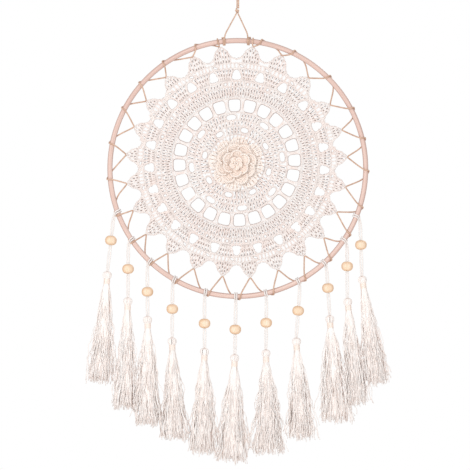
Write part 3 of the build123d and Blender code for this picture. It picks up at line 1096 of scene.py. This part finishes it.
random.seed(14)
posts, chains, webs, rims = [], [], [], []
slot = [
    (x * cos(SLOT_LEAN) - y * sin(SLOT_LEAN), x * sin(SLOT_LEAN) + y * cos(SLOT_LEAN))
    for x, y in ellipse(*SLOT, 18)
]
slot_inside = [(x * SLOT_INSIDE[0], y * SLOT_INSIDE[1]) for x, y in slot]
for i in range(COLUMNS):
    for k in range(FAN_STITCHES):
        share = spread(k, FAN_STITCHES)
        post(posts, in_fan(i, share, FAN_FOOT, 0), in_fan(i, share, LAST_ROUND - 0.6, 1))
        if k:
            share -= 1 / (FAN_STITCHES - 1)
            web(webs, in_fan(i, share, FAN_FOOT, 0), in_fan(i, share, LAST_ROUND, 1))
    for k in range(OVER_FAN):
        share = (k / OVER_FAN - 0.5) * 2 + 1 / OVER_FAN
        angle, reach = wavy(i, share)
        if abs(share + SLOT_SHIFT) < SLOT_ROOM or reach < LAST_ROUND + 2:
            continue
        post(posts, (angle, LAST_ROUND + 0.6), (angle, reach - 0.5), bar=False)
    valley = column(i, 1)[0]
    rim(chains, valley, TEAR_RADIUS, ellipse(*TEAR, 30))
    backing(rims, valley, TEAR_RADIUS, ellipse(*TEAR_INSIDE, 24))
    beside = column(i, -SLOT_SHIFT)[0]
    rim(chains, beside, SLOT_RADIUS, slot)
    backing(rims, beside, SLOT_RADIUS, slot_inside)
round_chain(chains, LAST_ROUND)
print("fans", len(posts), "strands")

# %% The points: short fans of stitches under a stepped edge
TIP_STITCHES = 7
TIP_WIDTH = 0.56
EDGE_STEPS = 24
PICOTS = 4
PICOT = 0.8
EDGE_INSET = 1.2
BORDER_OUT = 0.9
FOOT_SPREAD = 1.05
WEB_ROOM = 5.0

under, edge, border = [], [], []
for i in range(COLUMNS):
    for k in range(EDGE_STEPS):
        share = (k / EDGE_STEPS - 0.5) * 2
        angle, reach = column(i, share)
        reach += PICOT * abs(sin(pi * PICOTS * k / EDGE_STEPS * 2)) - EDGE_INSET
        edge.append(on_doily(angle, reach))
        border.append(on_doily(angle, reach + BORDER_OUT, WEB_DEPTH))
        under.append(on_doily(*wavy(i, share)))
    for k in range(TIP_STITCHES):
        share = spread(k, TIP_STITCHES) * TIP_WIDTH
        angle, reach = column(i, share)
        foot = wavy(i, share * FOOT_SPREAD)
        head = (angle, max(foot[1] + 2.5, reach - EDGE_INSET - 0.5))
        post(posts, (foot[0], foot[1] + 0.5), head, bar=False)
        if k:
            share -= TIP_WIDTH / (TIP_STITCHES - 1)
            foot, (angle, reach) = wavy(i, share * FOOT_SPREAD), column(i, share)
            if reach > foot[1] + WEB_ROOM:
                web(webs, foot, (angle, reach - WEB_ROOM / 2))
for line in (under, edge):
    chain(chains, np.array(line + line[:1]))
# A strand in painted shade just behind the stepped edge draws its dark outline.
rims.append(np.array(border + border[:1]))
doily_edge = doily_piece(
    "crochet_points", posts, chains, webs, rims, "crochet", crochet_cotton, "doily_points"
)

# %% [markdown]
# ## The rose
#
# The rose is worked the same way, on its own, and sewn on: three rounds of cupped petals and a
# coiled bud. A petal is a small fan of stitches with a chain around its edge. Each lies with
# one side over its neighbour, like a pinwheel, and lifts at its edge.

# %% Petals
ROSE = DOILY + Vector((-1.0, 0, -1.6)) * MM
# Each layer: piece, outer and inner radius, petals, angle of the first, stitches in a petal,
# depth of its base, how far its edge stands out, and how much the edge curls back in.
ROSE_LAYERS = [
    ("rose_back", 37.5, 13.0, 8, 10.0, 12, 1.9, 3.6, 0.0),
    ("rose_middle", 30.5, 13.0, 8, 32.0, 11, 4.2, 7.0, 0.16),
    ("rose_front", 22.0, 7.5, 6, 5.0, 11, 5.2, 8.6, 0.24),
    ("rose_bud", 11.0, 0.6, 5, 40.0, 9, 6.4, 4.6, 0.20),
]
EYE_RADIUS = 2.0
EYE_DEPTH = 10.6
PINWHEEL = 1.6
BELLY = 1.2
OVERLAP = 1.24
ROUNDING = 0.78
PETAL_FILL = 0.94
PETAL_POINTS = 9


def petal_point(layer, center, size, across, up):
    """Point of a petal: across is -1 to 1 from its left side to its right, up is 0 to 1."""
    inner, count, depth, rise, curl = layer
    rounding = sqrt(1 - ROUNDING * across * across)
    reach = up - curl * up ** 4
    radius = inner + (size - inner) * rounding * reach
    angle = center + 180 / count * OVERLAP * across * (0.6 + 0.4 * up)
    lift = depth + rise * up ** 1.3 * (0.75 + 0.25 * rounding) - PINWHEEL * across * up
    lift += BELLY * sin(pi * up) * (1 - across * across)
    return ROSE + ray(angle) * radius * MM + Vector((0, -lift * MM, 0))


random.seed(16)
roses = []
for name, outer, inner, count, first, stitches, depth, rise, curl in ROSE_LAYERS:
    layer = (inner, count, depth, rise, curl)
    posts, chains = [], []
    for petal in range(count):
        center = first + petal * 360 / count + random.uniform(-5, 5)
        size = outer * random.uniform(0.90, 1.0)
        for k in range(stitches):
            across = spread(k, stitches) * PETAL_FILL
            ups = np.linspace(0, 1, PETAL_POINTS)
            line = np.array([petal_point(layer, center, size - 0.8, across, up) for up in ups])
            phase = random.uniform(-POST_PHASE, POST_PHASE)
            posts += leaning(line, 0.62, 0.4, size / 14, phase)
        sides = np.linspace(0.15, 1, 8)
        edge = [petal_point(layer, center, size, -1, up) for up in sides]
        edge += [petal_point(layer, center, size, a, 1) for a in np.linspace(-1, 1, 20)[1:-1]]
        edge += [petal_point(layer, center, size, 1, up) for up in sides[::-1]]
        chain(chains, np.array(edge), closed=False)
    if name == "rose_bud":
        middle = ROSE + Vector((0, -EYE_DEPTH, 0)) * MM
        chain(chains, np.array([middle + ray(a) * EYE_RADIUS * MM for a in range(0, 361, 30)]))
    roses.append(
        doily_piece(f"crochet_{name}", posts, chains, [], [], "rose_crochet", rose_cotton, name)
    )

# %% The doily's three cuts, each with what holds it and what is sewn to it; their areas are printed
for piece, flat, area, held_by, sewn in (
    (doily_center, (0.132, 0.132), 0.01368, "crochet_lattice", {"with_pieces": roses}),
    (doily_middle, (0.22, 0.22), 0.0243, "crochet_points", {}),
    (doily_edge, (0.30, 0.308), 0.0327, "lacing_twine", {}),
):
    print(piece.name, "area", area, "m2")

# %% [markdown]
# ## Beads
#
# A bead is a turned ball of birch with a hole along its cord. Spinning its outline gives the
# ball and the hole in one go, and a small round at the hole's edge catches the light.

# %% Turn and thread the beads
BEAD_HOLE = 2.7 * MM
BEAD_STEPS = 40
BEAD_ARC = 18
BEAD_SQUAT = 0.85
BEAD_BLUNT = 0.88
BEAD_MOUTH = 1.12
BEAD_ROUND = 0.35 * MM

for number in range(1, len(PENDANT_ANGLES) + 1):
    name = f"bead_{number:02}"
    low, high, middle = rect(name)
    pivot, end = hangs_between(number)
    wide = (high.y - low.y) / 2
    outline = []
    start = asin(BEAD_HOLE * BEAD_MOUTH / wide)
    for k in range(BEAD_ARC + 1):
        turn = start + (pi - 2 * start) * k / BEAD_ARC
        height = abs(cos(turn)) ** BEAD_BLUNT * (1 if cos(turn) > 0 else -1)
        outline.append((wide * sin(turn) ** BEAD_BLUNT, wide * BEAD_SQUAT * height))
    lip = outline[0][1] - BEAD_ROUND
    outline += [(BEAD_HOLE, -lip), (BEAD_HOLE, lip)]
    shape = bmesh.new()
    ring = [shape.verts.new((reach, 0, height)) for reach, height in outline]
    for pair in zip(ring, ring[1:] + ring[:1]):
        shape.edges.new(pair)
    spin_around(shape, (0, 0, 1), BEAD_STEPS)
    turn = Vector((0, 0, 1)).rotation_difference(pivot - end).to_matrix()
    bmesh.ops.rotate(shape, verts=shape.verts, cent=(0, 0, 0), matrix=turn)
    bmesh.ops.translate(shape, verts=shape.verts, vec=middle)
    bead = as_object(f"wood_{name}", finished_mesh(name, shape))
    place(bead, name, "bead_wood", birch, name)
print("beads", number)

# %% [markdown]
# ## Tassels
#
# A tassel is a bundle of threads folded over the cord's knot and bound under the fold. Hair
# particles could make it, but they don't leave a mesh. Each thread is its own strand here: it
# goes up to the middle of the head, over its shoulder, in at the neck, and down through the
# skirt with its own slow waves and its own length, so that the hem is ragged.

# %% One tassel's threads
LOCKS = 30
THREADS_IN_LOCK = 4
LOOSE_THREADS = 14
INNER_BUNDLES = 40
INNER = 1.3 * MM
INNER_SHARE = 0.6
INNER_SHORT = 7.0
THREAD = 0.5 * MM
SKIRT_POINTS = 19
HEAD = [(0.0, 0.10), (0.9, 0.62), (2.6, 0.95), (5.6, 1.0), (8.0, 0.86), (9.6, 0.58), (17.0, 0.56)]
HEAD_RADIUS = 5.5
NECK_END = 17.0
FLARE = 0.78
# Each tassel: lean in degrees, length, and how far its hem reaches left, right and in depth.
TASSELS = [
    (-3.8, 148.5, 18.5, 17.5, 9.5), (-1.4, 149.0, 17.5, 17.0, 9.5), (0.3, 145.5, 20.0, 20.0, 10.0),
    (1.1, 136.0, 18.0, 21.0, 10.0), (-0.9, 140.0, 20.5, 21.5, 10.5), (-2.0, 142.5, 22.0, 25.0, 10.5),
    (1.1, 139.5, 25.0, 26.0, 11.0), (2.5, 134.0, 18.5, 20.0, 10.0), (3.3, 142.5, 24.0, 24.0, 10.0),
    (5.6, 142.0, 18.0, 19.0, 9.5), (8.0, 145.5, 18.0, 17.0, 9.5),
]


# Waves of a thread: how far it sways as shares of its looseness, and how long the wave is.
WAVES = [((0.5, 1.0), (40, 85)), ((0.2, 0.5), (14, 26))]
LOCK_WAVE = 1.7
THREAD_WAVE = 0.9
LOOSE_WAVE = 3.0
INNER_WAVE = 0.8


def new_waves(looseness):
    """Slow waves for a lock or a thread: size, length, and where each starts."""
    return [
        (
            looseness * random.uniform(*sizes), random.uniform(*span),
            random.uniform(0, tau), random.uniform(0, tau),
        )
        for sizes, span in WAVES
    ]


def thread(around, share, waves, drift, length, hem):
    """One thread in the tassel's own frame, in millimetres: right, forwards and down."""
    hem_left, hem_right, hem_depth = hem
    side, depth = cos(around), sin(around)
    wide = hem_right if side > 0 else hem_left
    points = []
    for drop, radius in HEAD:
        reach = radius * HEAD_RADIUS * (1 - 0.35 * (1 - share) if drop > 0.5 else 1)
        points.append((side * reach, depth * reach, drop))
    neck = HEAD[-1][1] * HEAD_RADIUS * (0.55 + 0.45 * share)
    for s in np.linspace(0, 1, SKIRT_POINTS + 1)[1:]:
        drop = NECK_END + (length - NECK_END) * s
        flare = s ** FLARE
        x = side * (neck + (wide * share - neck) * flare) + drift * s * s
        y = depth * (neck + (hem_depth * share - neck) * flare)
        for size, wave, first, second in waves:
            freedom = size * min(1, 0.25 + s * 1.6) * min(1, s * 6)
            x += freedom * sin(tau * drop / wave + first)
            y += freedom * 0.7 * sin(tau * drop / wave + second)
        points.append((x, y, drop))
    return points


def tassel_threads(length, hem):
    """Threads in locks that wave together, and a few loose ones."""
    threads = []
    for lock in range(LOCKS):
        around = tau * (lock + random.uniform(-0.3, 0.3)) / LOCKS * 3
        share = random.uniform(0.35, 1) ** 0.6
        waves = new_waves(LOCK_WAVE)
        drift = random.gauss(0, 1.4)
        end = length + random.gauss(0, 2.0) - 2
        for _ in range(THREADS_IN_LOCK):
            beside, out = around + random.gauss(0, 0.16), min(1, share + random.gauss(0, 0.06))
            own = waves + new_waves(THREAD_WAVE)
            off = drift + random.gauss(0, 0.9)
            threads.append(thread(beside, out, own, off, end + random.gauss(0, 1.8), hem))
    for _ in range(LOOSE_THREADS):
        side = random.choice((0, pi))
        drift = cos(side) * random.uniform(0, 7)
        around = side + random.uniform(-0.7, 0.7)
        end = length + random.uniform(-22, 4)
        out = random.uniform(0.8, 1.12)
        threads.append(thread(around, out, new_waves(LOOSE_WAVE), drift, end, hem))
    return threads


# %% Eleven tassels, each with its binding
BINDING_TURNS = 7
BINDING_THREAD = 0.5
BINDING_STEPS = 16
BINDING_TOP = 9.9
BINDING_PITCH = 0.95
BINDING_REACH = HEAD_RADIUS * HEAD[-1][1] + 0.72
HEM_SHARE = 0.86

for number, (lean, length, left, right, deep) in enumerate(TASSELS, 1):
    random.seed(200 + number)
    pivot = Vector(JOINTS[f"tassel_swing_{number:02}"]["pos_m"])
    down = ray(180 - lean)
    across = along(-lean)
    head_top = pivot + down * 0.9 * MM

    def settle(points):
        return np.array([
            head_top + (across * x + Vector((0, -y, 0)) + down * z) * MM for x, y, z in points
        ])

    hem = (left * HEM_SHARE, right * HEM_SHARE, deep)
    threads = [settle(points) for points in tassel_threads(length, hem)]
    inside = []
    for k in range(INNER_BUNDLES):
        waves = new_waves(INNER_WAVE)
        points = thread(tau * k / INNER_BUNDLES, INNER_SHARE, waves, 0, length - INNER_SHORT, hem)
        inside.append(settle(points[len(HEAD) - 2:]))
    bundle = bmesh.new()
    for strands, radius in ((threads, THREAD), (inside, INNER)):
        mesh = strands_mesh("threads", strands, radius, 0)
        bundle.from_mesh(mesh)
        bpy.data.meshes.remove(mesh)
    name = f"thread_tassel_{number:02}"
    tassel = as_object(name, finished_mesh(name, bundle))
    place(tassel, f"tassel_{number:02}", "tassel_thread", tassel_cotton, f"tassel_{number:02}")

    turns = []
    for k in range(BINDING_TURNS * BINDING_STEPS + 1):
        turn = tau * k / BINDING_STEPS
        reach = BINDING_REACH + 0.06 * sin(turn * 0.37)
        drop = BINDING_TOP + BINDING_PITCH * k / BINDING_STEPS
        turns.append((reach * cos(turn), reach * sin(turn), drop))
    name = f"thread_binding_{number:02}"
    wrap = as_object(name, strands_mesh(name, [settle(turns)], BINDING_THREAD * MM))
    place(wrap, f"tassel_{number:02}", "binding_thread", rose_cotton, f"binding_{number:02}")
print("tassels", number, "of", len(threads), "threads")

# %% [markdown]
# ## Stage and light
#
# White yarn needs a bright, even room: white all around, one large soft light from the upper
# left in front, a weaker one from the lower right, and one from behind for the edges. The
# floor is well below the tassels.

# %% Stage
FLOOR = -0.95
shape = bmesh.new()
bmesh.ops.create_circle(shape, cap_ends=True, segments=96, radius=1.5)
bmesh.ops.translate(shape, verts=shape.verts, vec=(0, 0, FLOOR))
floor = as_object("floor", finished_mesh("floor", shape))
floor_white = bpy.data.materials.new("floor white")
floor_white.use_nodes = True
floor_inputs = floor_white.node_tree.nodes["Principled BSDF"].inputs
floor_inputs["Base Color"].default_value = paint(246, 244, 242)
floor_inputs["Roughness"].default_value = 0.9
floor.data.materials.append(floor_white)

world = bpy.data.worlds.new("studio")
bpy.context.scene.world = world
world.use_nodes = True
sky = world.node_tree.nodes["Background"]
sky.inputs["Color"].default_value = (1, 1, 1, 1)
AMBIENT = 0.66
tree = world.node_tree
seen = tree.nodes.new("ShaderNodeLightPath").outputs["Is Camera Ray"]
extra = calculate(tree, "MULTIPLY", seen, 1 - AMBIENT)
tree.links.new(calculate(tree, "ADD", extra, AMBIENT), sky.inputs["Strength"])
bpy.context.scene.view_settings.view_transform = "Standard"


def softbox(name, location, size, power):
    lamp = bpy.data.lights.new(name, "AREA")
    lamp.size = size
    lamp.energy = power
    box = bpy.data.objects.new(name, lamp)
    bpy.context.collection.objects.link(box)
    box.location = location
    box.rotation_euler = (HOOP - Vector(location)).to_track_quat("-Z", "Y").to_euler()


softbox("key", (-1.0, -1.9, 0.3), 0.6, 19)
softbox("fill", (1.1, -1.9, -0.9), 0.8, 9)
softbox("rim", (0.8, 1.4, 0.5), 0.6, 9)
print("lights", len(bpy.data.lights))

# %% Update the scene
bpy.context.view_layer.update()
